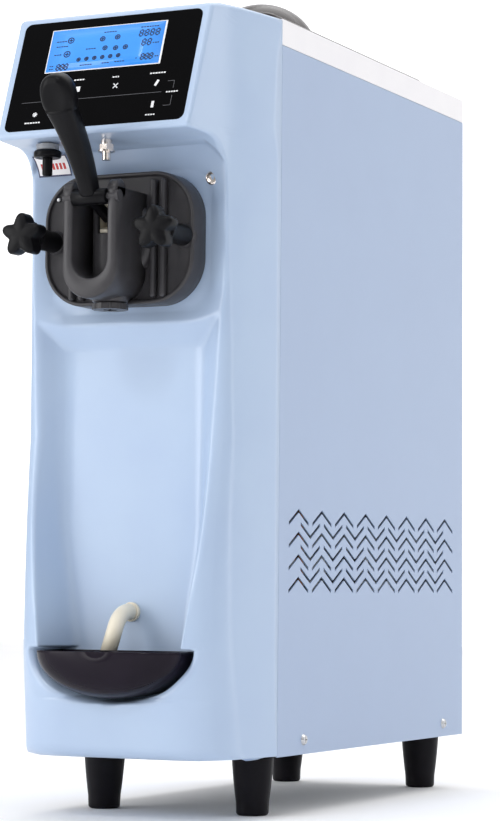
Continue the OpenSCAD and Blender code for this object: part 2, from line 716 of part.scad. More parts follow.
// Bent copper lines made of straight runs and elbows that meet in balls
module pipe(points, r)
    for (i = [0:len(points) - 2]) {
        d = points[i + 1] - points[i];
        l = norm(d);
        translate(points[i]) rotate([0, acos(d[2] / l), atan2(d[1], d[0])]) cylinder(r = r, h = l);
        translate(points[i + 1]) sphere(r = r + 0.01);
    }
module refrigerant_pipes()
    color(copper) {
        pipe([[-40, 34.4, 90], [-40, 60, 90], [-98, 60, 90], [-98, 250, 90], [-98, 272, 100]], 3);
        pipe([[-80, 184, 100], [-80, 184, 272], [-84, 184, 410], [-84, 50, 420], [-84, -30, 480]], 2);
        pipe([[60, -20, 430], [88, -20, 430], [88, -20, 120], [14.4, -20, 120]], 4);
    }

// ---- Electrical ----
module control_box()
    color("#3F444A") {
        difference() {
            block([54, 160, 404], [104, 288, 560]);
            block([56, 162, 406], [102, 290, 558]);
        }
        for (z = [430:30:520]) block([50, 180, z], [54, 200, z + 14]);
    }
module power_inlet()
    color("#17181A") difference() {
        union() {
            block([-76.3, rear_y - 22, 318.2], [-49.3, rear_y + 0.1, 342.2]);
            along_y(rear_y + 0.1, reach) rounded([-82, 314], [-43.6, 346.4], 4);
        }
        block([-73.5, rear_y - 16, 321], [-52, reach + 1, 338.5]);
        for (x = [-79.3, -46.3]) bar_y(rear_y - 30, reach + 1, x, 330.2, 1.6);
    }
module switch_housing()
    color("#17181A") difference() {
        union() {
            block([-26, rear_y - 18, 320.7], [-7, rear_y + 0.1, 346.2]);
            along_y(rear_y + 0.1, rear_y + 1.8) rounded([-28.5, 318.5], [-4.5, 348.5], 2);
        }
        block([-24, rear_y - 14, 322.7], [-9, reach + 1, 344.2]);
    }
// Rocks about a pin across its middle
module rocker()
    color("#8E1B1B") {
        along_x(-23.6, -9.4) polygon(concat([[rear_y - 8, 331.45], [rear_y - 8, 335.45]],
            curve([rear_y + 1.0, 343.4], [rear_y + 1.2, 333.4], [rear_y + 3.4, 323.6], 6),
            [[rear_y - 1, 323.4]]));
    }

// ---- Small fittings on the front ----
module face_screw()
    color("#E6D6CE") difference() {
        union() {
            translate([80, -face_y - 0.1, 550]) rotate([90, 0, 0]) rotate_extrude()
                polygon(concat([[0, 0], [6.5, 0]], arc([4.9, 1.6], 1.6, 0, 90, 3), [[0, 3.6]]));
            bar_y(-face_y - 0.1, -168, 80, 550, 2.4);
        }
        bar_y(-190, -182, 80, 550, 2.6);
    }
module stop_bolt()
    color("#D8CFC8") {
        bar_z(563.5, 600, 0, -bolt_y, 3.75);
        bar_z(596, 600, 0, -bolt_y, 6);
    }
module stop_bolt_nut()
    color("#C9BDB4") difference() {
        union() {
            bar_z(570.5, 572, 0, -bolt_y, 7.5);
            translate([0, -bolt_y, 572]) cylinder(r = 6.8, h = 5, $fn = 6);
            bar_z(577, 580.9, 0, -bolt_y, 5);
        }
        bar_z(560, 590, 0, -bolt_y, 3.75);
    }
module toggle_knob()
    color("#141416") translate([-toggle_x, -toggle_y, 0])
        rotate_extrude() polygon(concat([[0, 552.5]], arc([2.2, 554.7], 2.2, 270, 360, 3),
            [[4.4, 568.5]], arc([10, 570.5], 2, 270, 360, 3), arc([10, 573.2], 2, 0, 90, 3),
            [[4, 575.2], [4, 592], [0, 592]]));
module toggle_collar()
    color("#9A9CA0") translate([-toggle_x, -toggle_y, 0]) difference() {
        union() {
            translate([0, 0, 575.6]) cylinder(r = 9.8, h = 4.8);
            translate([0, 0, 580]) cylinder(r = 5, h = 9);
            translate([0, 0, 588.2]) cylinder(r = 8, h = 2);
        }
        translate([0, 0, 570]) cylinder(r = 4.05, h = 30);
    }

front_shell();
right_side_panel();
left_side_panel();
back_panel();
top_cover();
hopper_lid();
hopper();
air_tube();
base_pan();
inner_frame();
feet();
side_screws();
drip_tray();
drain_tube();
display_glass();
lcd_module();
control_board();
dispensing_head();
valve_plunger();
plunger_rings();
lever();
pivot_pin();
right_star_knob();
left_star_knob();
knob_studs();
nozzle_cap();
head_seal();
freezing_cylinder();
evaporator_coil();
insulation_jacket();
beater();
shaft_seal();
gearbox();
gearbox_pulley();
motor();
motor_pulley();
drive_belt();
compressor();
compressor_mounts();
condenser();
fan_shroud();
fan_blade();
fan_motor();
filter_drier();
refrigerant_pipes();
control_box();
power_inlet();
switch_housing();
rocker();
rear_screws();
face_screw();
stop_bolt();
stop_bolt_nut();
toggle_knob();
toggle_collar();
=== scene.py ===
import math

import bmesh
import bpy
import numpy as np
from mathutils import Matrix, Vector


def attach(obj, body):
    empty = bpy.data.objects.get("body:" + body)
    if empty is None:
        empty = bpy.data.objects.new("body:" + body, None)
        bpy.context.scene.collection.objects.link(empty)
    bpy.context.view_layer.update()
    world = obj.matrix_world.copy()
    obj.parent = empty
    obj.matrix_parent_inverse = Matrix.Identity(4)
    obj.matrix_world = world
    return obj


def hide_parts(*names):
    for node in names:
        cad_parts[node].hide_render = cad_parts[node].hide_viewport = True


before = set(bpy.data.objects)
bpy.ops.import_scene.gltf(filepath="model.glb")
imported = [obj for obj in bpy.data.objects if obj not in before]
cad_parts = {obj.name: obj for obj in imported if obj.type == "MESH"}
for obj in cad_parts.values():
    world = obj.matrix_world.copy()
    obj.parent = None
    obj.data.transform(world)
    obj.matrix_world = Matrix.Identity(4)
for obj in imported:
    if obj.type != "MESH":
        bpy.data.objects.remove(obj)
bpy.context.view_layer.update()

# ---------------------------------------------------------------- Viewpoint
# A long lens stands in front of the machine's right corner, at about the height of the drip tray,
# and looks very slightly up at it.
swing, dip, roll = math.radians(25.7), math.radians(-5.22), math.radians(0.42)
ahead = Vector((-math.sin(swing) * math.cos(dip), math.cos(swing) * math.cos(dip), -math.sin(dip)))
level = ahead.cross(Vector((0, 0, 1))).normalized()
above = level.cross(ahead)
across = level * math.cos(roll) + above * math.sin(roll)
upward = above * math.cos(roll) - level * math.sin(roll)
lens = bpy.data.cameras.new("camera")
lens.lens, lens.sensor_width, lens.sensor_fit = 114.62, 36, "AUTO"
lens.shift_x, lens.shift_y = -0.0438, -0.0785
lens.clip_start, lens.clip_end = 0.05, 60
camera = bpy.data.objects.new("camera", lens)
camera.matrix_world = Matrix.Translation((1.104, -2.16136, 0.20121)) @ Matrix(
    (across, upward, -ahead)).transposed().to_4x4()
bpy.context.collection.objects.link(camera)
bpy.context.scene.camera = camera
bpy.context.scene.view_settings.view_transform = "Standard"

# ---------------------------------------------------------------- Studio
# A pale seamless sweep under and behind the machine, a broad soft box low at the front left, a long strip at the
# right, a small high lamp in front, a wash on the floor and a soft white room. Nothing here belongs to the machine.


def linear(colour):
    """Linear red, green, blue and alpha of an sRGB hex: c/12.92 below 0.04045, else ((c+0.055)/1.055)^2.4."""
    c = np.array([int(colour[i:i + 2], 16) / 255 for i in (1, 3, 5)])
    c = np.where(c <= 0.04045, c / 12.92, ((c + 0.055) / 1.055) ** 2.4)
    return (*c.tolist(), 1.0)


def node(tree, kind, sockets=None, **settings):
    """Adds a node, gives it these settings, and fills its input sockets with values or with links from outputs."""
    made = tree.nodes.new(kind)
    for key, value in settings.items():
        setattr(made, key, value)
    for key, value in (sockets or {}).items():
        if isinstance(value, bpy.types.NodeSocket):
            tree.links.new(value, made.inputs[key])
        else:
            made.inputs[key].default_value = value
    return made


def finish(name, colours, patch, rough, grain=0.5, height=0.02, rough_drift=0.06, stretch=(1, 1, 1),
           metallic=0.0, ior=1.5, **sockets):
    """A principled material. Its colour wanders between two hexes over patches of `patch` mm, its roughness
    wanders by rough_drift with them, and a bump `height` mm high with bumps `grain` mm apart is its skin."""
    made = bpy.data.materials.new(name)
    made.use_nodes = True
    tree = made.node_tree
    shader = tree.nodes["Principled BSDF"]
    shader.inputs["Metallic"].default_value = metallic
    shader.inputs["Roughness"].default_value = rough
    if not metallic:
        shader.inputs["IOR"].default_value = ior
    for key, value in sockets.items():
        shader.inputs[key.replace("_", " ")].default_value = value
    place = node(tree, "ShaderNodeTexCoord").outputs["Object"]
    place = node(tree, "ShaderNodeMapping", {"Vector": place, "Scale": stretch}).outputs["Vector"]
    cloud = node(tree, "ShaderNodeTexNoise", {"Vector": place, "Scale": 1000 / patch, "Detail": 3.0}).outputs["Fac"]
    band = node(tree, "ShaderNodeValToRGB", {"Fac": cloud})
    for element, level, colour in zip(band.color_ramp.elements, (0.3, 0.7), colours):
        element.position, element.color = level, linear(colour)
    tree.links.new(band.outputs["Color"], shader.inputs["Base Color"])
    drift = node(tree, "ShaderNodeMapRange", {"Value": cloud, "From Min": 0.3, "From Max": 0.7,
                                              "To Min": rough - rough_drift / 2, "To Max": rough + rough_drift / 2})
    tree.links.new(drift.outputs["Result"], shader.inputs["Roughness"])
    if height:
        skin_noise = node(tree, "ShaderNodeTexNoise", {"Vector": place, "Scale": 1000 / grain, "Detail": 2.0})
        bump = node(tree, "ShaderNodeBump", {"Height": skin_noise.outputs["Fac"], "Distance": height / 1000,
                                             "Strength": 1.0})
        tree.links.new(bump.outputs["Normal"], shader.inputs["Normal"])
    return made


def mesh_from(name, grid, wrap_rows=False, wrap_columns=False, closed=False):
    """A smooth mesh object from a (rows, columns, 3) array of points in millimetres. Four neighbours on the grid
    make a face, wrapping joins the last line to the first, points that coincide at a pole or seam are merged,
    and a closed skin has its faces turned outwards."""
    rows, columns = grid.shape[:2]
    index = np.arange(rows * columns).reshape(rows, columns)
    index = np.vstack([index, index[:1]]) if wrap_rows else index
    index = np.hstack([index, index[:, :1]]) if wrap_columns else index
    faces = np.stack([index[:-1, :-1], index[:-1, 1:], index[1:, 1:], index[1:, :-1]], -1).reshape(-1, 4)
    mesh = bpy.data.meshes.new(name)
    mesh.from_pydata((grid.reshape(-1, 3) / 1000).tolist(), [], faces.tolist())
    tidy = bmesh.new()
    tidy.from_mesh(mesh)
    bmesh.ops.remove_doubles(tidy, verts=tidy.verts, dist=1e-6)
    bmesh.ops.dissolve_degenerate(tidy, edges=tidy.edges, dist=1e-7)
    if closed:
        bmesh.ops.recalc_face_normals(tidy, faces=tidy.faces)
    tidy.to_mesh(mesh)
    tidy.free()
    mesh.shade_smooth()
    made = bpy.data.objects.new(name, mesh)
    bpy.context.collection.objects.link(made)
    return made


ground_x, ground_y = np.meshgrid(np.linspace(-9000, 9000, 9), np.linspace(-7000, 6000, 9))
floor = mesh_from("floor", np.stack([ground_x, ground_y, 0 * ground_x], -1))
floor.data.materials.append(finish("matt_white_floor", ("#F9F9FB", "#FBFBFC"), 400, 0.9, height=0,
                                   Specular_IOR_Level=0.1))
quarter = np.radians(np.linspace(0, 90, 12))
sweep_line = np.vstack([np.stack([6000 + 900 * np.sin(quarter), 900 - 900 * np.cos(quarter)], -1), [[6900, 8200]]])
backdrop = mesh_from("backdrop", np.stack([
    np.broadcast_to(np.linspace(-9000, 9000, 9)[None, :], (13, 9)),
    np.broadcast_to(sweep_line[:, :1], (13, 9)),
    np.broadcast_to(sweep_line[:, 1:], (13, 9))], -1))
backdrop.data.materials.append(finish("lit_white_backdrop", ("#FDFDFE", "#FEFEFF"), 400, 0.9, height=0,
                                      Emission_Color=linear("#FFFFFF"), Emission_Strength=0.5))

room = bpy.data.worlds.new("soft_white_room")
room.use_nodes = True
sky = room.node_tree
rise = node(sky, "ShaderNodeSeparateXYZ", {"Vector": node(sky, "ShaderNodeTexCoord").outputs["Generated"]}).outputs["Z"]
glow = node(sky, "ShaderNodeMapRange", {"Value": rise, "From Min": 0.0, "From Max": 1.0,
                                        "To Min": 0.34, "To Max": 1.05})
sky.links.new(glow.outputs["Result"], sky.nodes["Background"].inputs["Strength"])
sky.nodes["Background"].inputs["Color"].default_value = linear("#FFFFFF")
bpy.context.scene.world = room

for name, place, aim, size, power in (
        ("left_soft_box", (-2.3, -2.5, 0.9), (0, -0.2, 0.4), (1.6, 2.2), 41),
        ("right_strip", (2.4, -1.7, 1.5), (0.1, -0.1, 0.4), (0.6, 1.8), 2.5),
        ("front_spot", (-0.36, -2.7, 2.75), (0, -0.2, 0.5), (0.5, 0.4), 14),
        ("floor_wash", (0.3, 0.9, 2.9), (0.2, 0.9, 0), (3.4, 2.6), 40)):
    light = bpy.data.lights.new(name, "AREA")
    light.shape, light.size, light.size_y, light.energy = "RECTANGLE", size[0], size[1], power
    lamp = bpy.data.objects.new(name, light)
    lamp.matrix_world = Matrix.Translation(place) @ (Vector(place) - Vector(aim)).to_track_quat(
        "Z", "Y").to_matrix().to_4x4()
    bpy.context.collection.objects.link(lamp)

# ---------------------------------------------------------------- Front moulding
# The whole front is one injection-moulded ABS shell, coloured powder blue all through: nose, display box,
# recess round the dispensing head, and the scooped bay for the cup. It hooks onto the steel casing behind.


def lean(a, b, c, n=60):
    """Quadratic curve from a to c that leans towards b: (1-t)^2 a + 2t(1-t) b + t^2 c."""
    t = np.linspace(0, 1, n)[:, None]
    return (1 - t) ** 2 * np.array(a, float) + 2 * t * (1 - t) * np.array(b, float) + t ** 2 * np.array(c, float)


def turn(centre, radius, start, stop, n=40):
    """Points of an arc: centre plus radius times the cosine and sine of an angle from start to stop degrees."""
    a = np.radians(np.linspace(start, stop, n))[:, None]
    return np.array(centre, float) + radius * np.hstack([np.cos(a), np.sin(a)])


def resample(line, spacing):
    """Walks along a line of points so that the steps follow spacing(line), longer where detail isn't needed."""
    step = np.linalg.norm(np.diff(line, axis=0), axis=1)
    line = line[np.r_[True, step > 1e-6]]
    along = np.r_[0, np.cumsum(step[step > 1e-6])]
    fine = np.linspace(0, along[-1], 6000)
    dense = np.stack([np.interp(fine, along, line[:, i]) for i in range(line.shape[1])], -1)
    count = np.r_[0, np.cumsum((fine[1] - fine[0]) / spacing(dense)[:-1])]
    pick = np.interp(np.linspace(0, count[-1], int(round(count[-1])) + 1), count, fine)
    return np.stack([np.interp(pick, fine, dense[:, i]) for i in range(line.shape[1])], -1)


def soft_max(a, b, k):
    """The larger of a and b, with the corner between them rounded over a difference of k."""
    h = np.clip(k - np.abs(a - b), 0, None) / k
    return np.maximum(a, b) + h * h * k / 4


def step_up(x, low, high):
    """0 below low, 1 above high, and 3t^2 - 2t^3 between."""
    t = np.clip((x - low) / (high - low), 0, 1)
    return t * t * (3 - 2 * t)


tray_top, casing_bottom, seam = 144.0, 52.8, -112.0
pocket_half, pocket_deep, pocket_top = 70.6, 41.0, 144.5
nose = np.vstack([
    [[seam, casing_bottom]], turn((-193, casing_bottom + 12), 12, 270, 180), [[-213, tray_top]],
    lean((-213, tray_top), (-206, 240), (-190, 330)), lean((-188, 400), (-188, 480), (-190, 540)),
    lean((-190, 548), (-191, 580), (-220, 581.4)), turn((-249.4, 585.9), 3.5, 270, 160.56),
    lean((-215.2, 693), (-212.5, 699), (-172, 700)), [[seam, 700]]])


def nose_spacing(line):
    """Steps of 5 mm down the front and 9 mm elsewhere, and of 0.8 to 2 mm where the surface turns sharply."""
    y, z = line.T
    front = y < -150
    h = np.where(front, 5.0, 9.0)
    h = np.where(front & (z > 97) & (z < 150), 1.7, h)
    h = np.where(front & (z > 386) & (z < 436), 1.5, h)
    h = np.where(front & (z > 545) & (z < 583), 1.5, h)
    h = np.where((y < -240) & (z < 592), 0.8, h)
    h = np.where((z > 690) & (y < -165), 2.0, h)
    return np.where(front & (z < 66), 1.8, h)


nose = resample(nose, nose_spacing)
slope = np.gradient(nose, axis=0)
slope /= np.linalg.norm(slope, axis=1)[:, None]
inward = np.stack([slope[:, 1], -slope[:, 0]], -1)
walked = np.r_[0, np.cumsum(np.linalg.norm(np.diff(nose, axis=0), axis=1))]
side_line = np.vstack([lean((86, -254), (94, -254), (94.5, -246)), lean((97, -186), (106, -150), (112, -112))])
# Distance walked along the nose, radius of the long edge there, and height of the same row at the seam
keys = [(0, 1.5, 54), (72, 2.0, 80), (100, 13, 104), (180, 10, 165), (290, 7, 270), (460, 5.5, 430),
        (560, 5.5, 530), (600, 5, 575), (640, 3.0, 592), (690, 3.2, 610), (790, 4.0, 662), (walked[-1], 3.0, 697)]
edge_radius = np.interp(walked, [k[0] for k in keys], [k[1] for k in keys])
seam_height = np.interp(walked, [k[0] for k in keys], [k[2] for k in keys])
# The vertical corners are tight beside the display and open out to a broad sweep at the foot
sweep_keys = np.array([(0, 30), (100, 42), (180, 38), (290, 24), (400, 12), (520, 6), (600, 3)])
corner_sweep = np.maximum(edge_radius, np.interp(walked, sweep_keys[:, 0], sweep_keys[:, 1]))
low_down = (walked < 560)[:, None] * (1 - step_up(nose[:, 1], 330, 430))[:, None]
underside = 81.0
straight_back = np.stack([np.clip((seam - nose[:, 0]) / underside, 0, 1), 0.04 + 0 * walked], -1)
pull = inward * (1 - low_down) + straight_back * low_down
corner_end = nose + pull * corner_sweep[:, None]
half_width = np.interp(corner_end[:, 0], side_line[:, 1], side_line[:, 0])

z_row = nose[:, 1]
bay_half = np.interp(z_row, [100, 144, 260, 396, 440], [55, 56, 68, 68, 78])
pocket_row = pocket_half * np.sqrt(np.clip(1 - ((pocket_top - z_row) / pocket_deep) ** 2, 0.02, 1))
bay_half = np.where(z_row < 146, pocket_row, bay_half)
rim_half = np.interp(z_row, [144, 250, 396, 440, 600], [72, 82, 89, 90.5, 95])
rim_half = np.where(z_row < 146, bay_half + 1.2, rim_half)
flat_edge = half_width - edge_radius
bay_half, rim_half = np.minimum(bay_half, flat_edge - 9), np.minimum(rim_half, flat_edge - 0.6)
inner = bay_half[:, None] * np.linspace(0, 1, 22)[None, :-1]
slopes = bay_half[:, None] + (rim_half - bay_half)[:, None] * np.linspace(0, 1, 20)[None, :-1]
rim = rim_half[:, None] + (flat_edge - rim_half)[:, None] * np.linspace(0, 1, 5)[None, :-1]
bend = np.linspace(0, np.pi / 2, 9)[None, :]
corner = flat_edge[:, None] + edge_radius[:, None] * np.sin(bend)
front_x = np.hstack([inner, slopes, rim, corner])
swing_radius = corner_sweep[:, None]
past = np.clip(front_x - half_width[:, None] + swing_radius, 0, swing_radius)
sink = swing_radius - np.sqrt(swing_radius ** 2 - past ** 2)
front_y = nose[:, :1] + pull[:, :1] * sink
front_z = nose[:, 1:] + pull[:, 1:] * sink


def recess_depth(x, z):
    """How far back the recesses reach at (x, z). The bay's back stands at Y -170 and its sides and top rise from it
    in straight slopes; the head's flat stands at -180 and banks gently up round a rounded rectangle; the tray's
    pocket is half an ellipse with nearly square walls. Where two meet, the corner between them is rounded."""
    nowhere, bay_back, flat_back = -400, -170.0, -180
    lower_half = 68 - 12 * step_up(-z, -260, -tray_top)
    reach = np.interp(z, [tray_top, 525], [69, 140])
    side = bay_back - 44 * (np.abs(x) - lower_half) / (reach - lower_half)
    scoop = -soft_max(-bay_back + 0 * z, -side, np.interp(z, [tray_top, 330], [15, 9]))
    scoop = np.where(z < pocket_top, nowhere, scoop)
    top = bay_back - 0.7 * np.clip(z - 405, 0, None)
    scoop = -soft_max(-scoop, -top, 3.5)
    flat_half, flat_rise, flat_centre, flat_corner = 78, 61, 498, 24
    dx, dz = np.abs(x) - flat_half + flat_corner, np.abs(z - flat_centre) - flat_rise + flat_corner
    out = np.hypot(np.clip(dx, 0, None), np.clip(dz, 0, None)) + np.minimum(np.maximum(dx, dz), 0) - flat_corner
    flat = flat_back - 0.4 * np.clip(out, 0, None) - np.clip(out - 24, 0, None) ** 2 * 0.5
    flat = np.where(z < 400, nowhere, flat)
    oval = np.hypot(x / pocket_half, (pocket_top - z) / pocket_deep)
    pocket = np.where(z < 146, -171 - 9 * np.clip(oval - 1, 0, None) * pocket_deep, nowhere)
    return np.maximum(soft_max(scoop, flat, 2.2), pocket)


deep = recess_depth(front_x, front_z)
in_front = (front_y < -150) & (front_z > 60) & (front_z < 579)
front_y = np.where(in_front, soft_max(front_y, deep, 4.5), front_y)
go = np.linspace(0, 1, 13)[None, 1:] ** 1.25
side_y = corner_end[:, :1] + (seam - corner_end[:, :1]) * go
side_z = corner_end[:, 1:] + (seam_height[:, None] - corner_end[:, 1:]) * go
side_x = np.interp(side_y, side_line[:, 1], side_line[:, 0])
right_half = np.stack([np.hstack(pair) for pair in ((front_x, side_x), (front_y, side_y), (front_z, side_z))], -1)
left_half = right_half[:, :0:-1] * [-1, 1, 1]
moulding = mesh_from("front_moulding", np.concatenate([left_half, right_half], 1))

# Moulded ABS: a soft satin that shows a faint cloudiness and a very fine spark texture, drawn coarser to show
abs_blue = finish("moulded_powder_blue_abs", ("#AEC2DE", "#B2C6E0"), 60, 0.34, grain=0.6, height=0.006, ior=1.53,
                  Coat_Weight=0.25, Coat_Roughness=0.12)


def fit(made, finishes, body, slot, *stands_for):
    """Gives a piece its material or materials, ties it to its body, and hides the nodes it stands for; slot is not
    used.
    """
    for one in finishes if isinstance(finishes, (list, tuple)) else [finishes]:
        made.data.materials.append(one)
    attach(made, body)
    if stands_for:
        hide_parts(*stands_for)
    return made


wall = moulding.modifiers.new("wall", "SOLIDIFY")
wall.thickness, wall.offset = 0.0024, -1
fit(moulding, abs_blue, "housing", "powder_blue_plastic", "front_shell")

# ---------------------------------------------------------------- Casing
# Side and back panels are folded sheet steel, powder coated in the same blue and screwed to the base pan; their colour
# is set darker than the front's, as painted shade.
# The vents are punched through the sheet, and the dark inside shows in them.


def recolour(made, *names):
    """Puts one material in every slot of these CAD nodes."""
    for name in names:
        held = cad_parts[name].data.materials
        for i in range(max(1, len(held))):
            if i < len(held):
                held[i] = made
            else:
                held.append(made)


# Powder coat: even satin with a slight orange peel, bumps about 1.5 mm apart. Its blue is darker than the front
# moulding's: painted shade for the sides that turn away from the light.
powder_coat_painted_shade = finish("powder_coated_steel_sheet_painted_shade", ("#9BAECC", "#9FB2CF"), 90, 0.36, grain=1.6, height=0.01, ior=1.5,
                     Coat_Weight=0.12, Coat_Roughness=0.2)
recolour(powder_coat_painted_shade, "right_side_panel", "left_side_panel", "back_panel")
# Galvanised base pan and posts: dull grey spangle, patches about 12 mm across
galvanised = finish("galvanised_sheet", ("#8F9498", "#A7ACB0"), 12, 0.45, grain=2, height=0.01, metallic=1.0)
recolour(galvanised, "base_pan", "inner_frame", "control_box", "fan_shroud")

# ---------------------------------------------------------------- Top cover and hopper
# A white moulded plastic frame caps the casing, and the stainless mix hopper hangs in it by its lip.
white_plastic = finish("moulded_white_plastic", ("#EDEBEE", "#F2F0F2"), 50, 0.32, grain=0.7, height=0.006, ior=1.5)
recolour(white_plastic, "top_cover")
# Drawn and brushed stainless steel: fine streaks along Y
stainless = finish("brushed_stainless_steel", ("#B9BABC", "#CBCCCE"), 30, 0.27, grain=0.8, height=0.004,
                   stretch=(1, 0.06, 1), metallic=1.0)
recolour(stainless, "hopper", "freezing_cylinder", "beater", "knob_studs", "side_screws", "rear_screws")
recolour(white_plastic, "air_tube")

# ---------------------------------------------------------------- Rating plate
# A small screen-printed vinyl plate follows the curve under the display box. Its print is left out: only the
# border and some plain bars stand for it.
plate_u, plate_v = np.meshgrid(np.linspace(0, 1, 19), np.linspace(0, 1, 13))
below_box = (nose[:, 0] > -215) & (nose[:, 1] < 580)
vinyl_low, vinyl_tall, vinyl_left, vinyl_wide, proud = 558.6, 21.0, -87.5, 33.5, 0.25
vinyl_along = np.interp(vinyl_low, nose[below_box, 1], walked[below_box]) + vinyl_tall * plate_v
vinyl_y = np.interp(vinyl_along, walked, nose[:, 0] - inward[:, 0] * proud)
vinyl_z = np.interp(vinyl_along, walked, nose[:, 1] - inward[:, 1] * proud)
vinyl = mesh_from("rating_plate", np.stack([vinyl_left + vinyl_wide * plate_u - 1.5 * plate_v, vinyl_y, vinyl_z], -1))
print_map = vinyl.data.uv_layers.new(name="print")
picked = np.zeros(len(vinyl.data.loops), int)
vinyl.data.loops.foreach_get("vertex_index", picked)
print_map.data.foreach_set("uv", np.stack([plate_u.ravel(), plate_v.ravel()], -1)[picked].ravel())
# Screen-printed vinyl: white and slightly glossy, a dark blue border about 1 mm wide, nine red bars 2.4 mm wide
vinyl_skin = finish("printed_white_vinyl", ("#F0EEF0", "#F5F3F5"), 10, 0.35, height=0)
tree = vinyl_skin.node_tree
across_plate, up_plate, _ = node(tree, "ShaderNodeSeparateXYZ", {
    "Vector": node(tree, "ShaderNodeUVMap", uv_map="print").outputs["UV"]}).outputs


def inside(*limits):
    """1 where each amount lies between its low and high, else 0: all the comparisons multiplied together."""
    mask = 1.0
    for amount, low, high in limits:
        for kind, bound in (("GREATER_THAN", low), ("LESS_THAN", high)):
            passed = node(tree, "ShaderNodeMath", {0: amount, 1: bound}, operation=kind).outputs[0]
            mask = node(tree, "ShaderNodeMath", {0: mask, 1: passed}, operation="MULTIPLY").outputs[0]
    return mask


nine = node(tree, "ShaderNodeMath", {0: across_plate, 1: 9.0}, operation="MULTIPLY").outputs[0]
in_ninth = node(tree, "ShaderNodeMath", {0: nine}, operation="FRACT").outputs[0]
bars = inside((in_ninth, 0.2, 0.85), (up_plate, 0.3, 0.58), (across_plate, 0.1, 0.9))
field = inside((across_plate, 0.035, 0.965), (up_plate, 0.07, 0.93))
skin_colour = tree.nodes["Principled BSDF"].inputs["Base Color"]
# On a colour mix, sockets 6 and 7 are the two colours and output 2 is the mixed one
with_bars = node(tree, "ShaderNodeMix", {0: bars, 6: skin_colour.links[0].from_socket, 7: linear("#C4302E")},
                 data_type="RGBA").outputs[2]
framed = node(tree, "ShaderNodeMix", {0: field, 6: linear("#1B2350"), 7: with_bars}, data_type="RGBA").outputs[2]
tree.links.new(framed, skin_colour)
fit(vinyl, vinyl_skin, "housing", "powder_blue_plastic")

# ---------------------------------------------------------------- Display
# A black printed glass, 3 mm thick with ground edges, is bonded into the sloped face. A blue backlit LCD shows
# through its clear window, and the touch keys are marks printed in white; nothing on it travels.
display_tilt = math.radians(19.44)


def on_glass(u, v, h):
    """A point u across, v up the slope and h out of the display, turned into X, Y and Z."""
    return np.stack([u + 0 * v, -252 + v * math.sin(display_tilt) - h * math.cos(display_tilt),
                     589 + v * math.cos(display_tilt) + h * math.sin(display_tilt)], -1)


def round_rectangle(half_a, half_b, radius, n=9):
    """Closed outline of a rectangle with rounded corners: quarter arcs walked round four corner centres."""
    angle = np.arange(4)[:, None] * np.pi / 2 + np.radians(np.linspace(0, 90, n))[None, :]
    sign_a, sign_b = np.array([[1], [-1], [-1], [1]]), np.array([[1], [1], [-1], [-1]])
    return np.stack([sign_a * (half_a - radius) + radius * np.cos(angle),
                     sign_b * (half_b - radius) + radius * np.sin(angle)], -1).reshape(-1, 2)


def layers(half_a, half_b, radius, steps, n=9):
    """Rings of a rounded rectangle, one for each step of (inset, height, shrink), as a, b and height."""
    rings = []
    for inset, height, shrink in steps:
        ring = round_rectangle(half_a - inset, half_b - inset, max(radius - inset, 0.3), n) * shrink
        rings.append(np.column_stack([ring, np.full(len(ring), float(height))]))
    return np.stack(rings)


glass_half = 54.1
slab = layers(88, glass_half, 6.7, [
    (0, -3, 0), (0, -3, 0.5), (1, -3, 1), (0, -3, 1), (0, -2.7, 1), (0, -0.2, 1), (0.15, 0.1, 1),
    (0.5, 0.22, 1), (0.9, 0.25, 1), (2, 0.25, 1), (2, 0.25, 0.5), (2, 0.25, 0)], n=12)
glass = mesh_from("display_glass_panel", on_glass(slab[..., 0], slab[..., 1] + glass_half, slab[..., 2]),
                  wrap_columns=True, closed=True)
# Float glass printed black behind: deep gloss, no texture of its own
fit(glass, finish("black_printed_glass", ("#030304", "#050507"), 80, 0.06, height=0, rough_drift=0.02, ior=1.52,
                  Specular_IOR_Level=0.05),
    "housing", "display_glass", "display_glass")


def strokes(name, lines, width, height, material, slot_name):
    """Flat ink on the glass: each line (u0, v0, u1, v1) becomes a strip `width` mm wide, its ends squared off."""
    lines = np.array(lines, float)
    start, stop = lines[:, :2], lines[:, 2:4]
    along = (stop - start) / np.linalg.norm(stop - start, axis=1)[:, None]
    wide = (np.full(len(lines), float(width)) if np.isscalar(width) else np.array(width, float))[:, None] / 2
    beside = np.stack([-along[:, 1], along[:, 0]], -1) * wide
    corners = np.stack([start - beside, stop - beside, stop + beside, start + beside], 1)
    points = on_glass(corners[..., 0], corners[..., 1], np.full(corners.shape[:2], height)).reshape(-1, 3) / 1000
    mesh = bpy.data.meshes.new(name)
    mesh.from_pydata(points.tolist(), [], np.arange(len(points)).reshape(-1, 4).tolist())
    made = bpy.data.objects.new(name, mesh)
    bpy.context.collection.objects.link(made)
    return fit(made, material, "housing", slot_name)


# Screen ink: solid matt white, as printed
white_ink = finish("white_screen_ink", ("#E6E8EC", "#F2F3F5"), 20, 0.4, height=0)
grey_ink = finish("grey_screen_ink", ("#4A4B50", "#56575C"), 20, 0.4, height=0)
spokes = [(-59.5 - 2.3 * math.cos(a), 15.6 - 2.3 * math.sin(a), -59.5 + 2.3 * math.cos(a), 15.6 + 2.3 * math.sin(a))
          for a in np.radians([0, 45, 90, 135])]
marks = [(-24.4, 37.6, -19.2, 37.6), (54.6, 34.6, 57.2, 40.0), (55.7, 13.4, 55.7, 19.6),
         (13.4, 35.6, 17.8, 40.2), (17.8, 35.6, 13.4, 40.2)] + spokes
strokes("key_marks", marks, [5.0, 2.4, 2.6, 0.9, 0.9] + [0.8] * 4, 0.3, white_ink, "display_glass")


def caption(u, v, widths):
    """A row of short bars with small gaps, standing for a printed word that is left out."""
    place = u - (sum(widths) + 0.7 * (len(widths) - 1)) / 2
    made = []
    for w in widths:
        made.append((place, v, place + w, v))
        place += w + 0.7
    return made


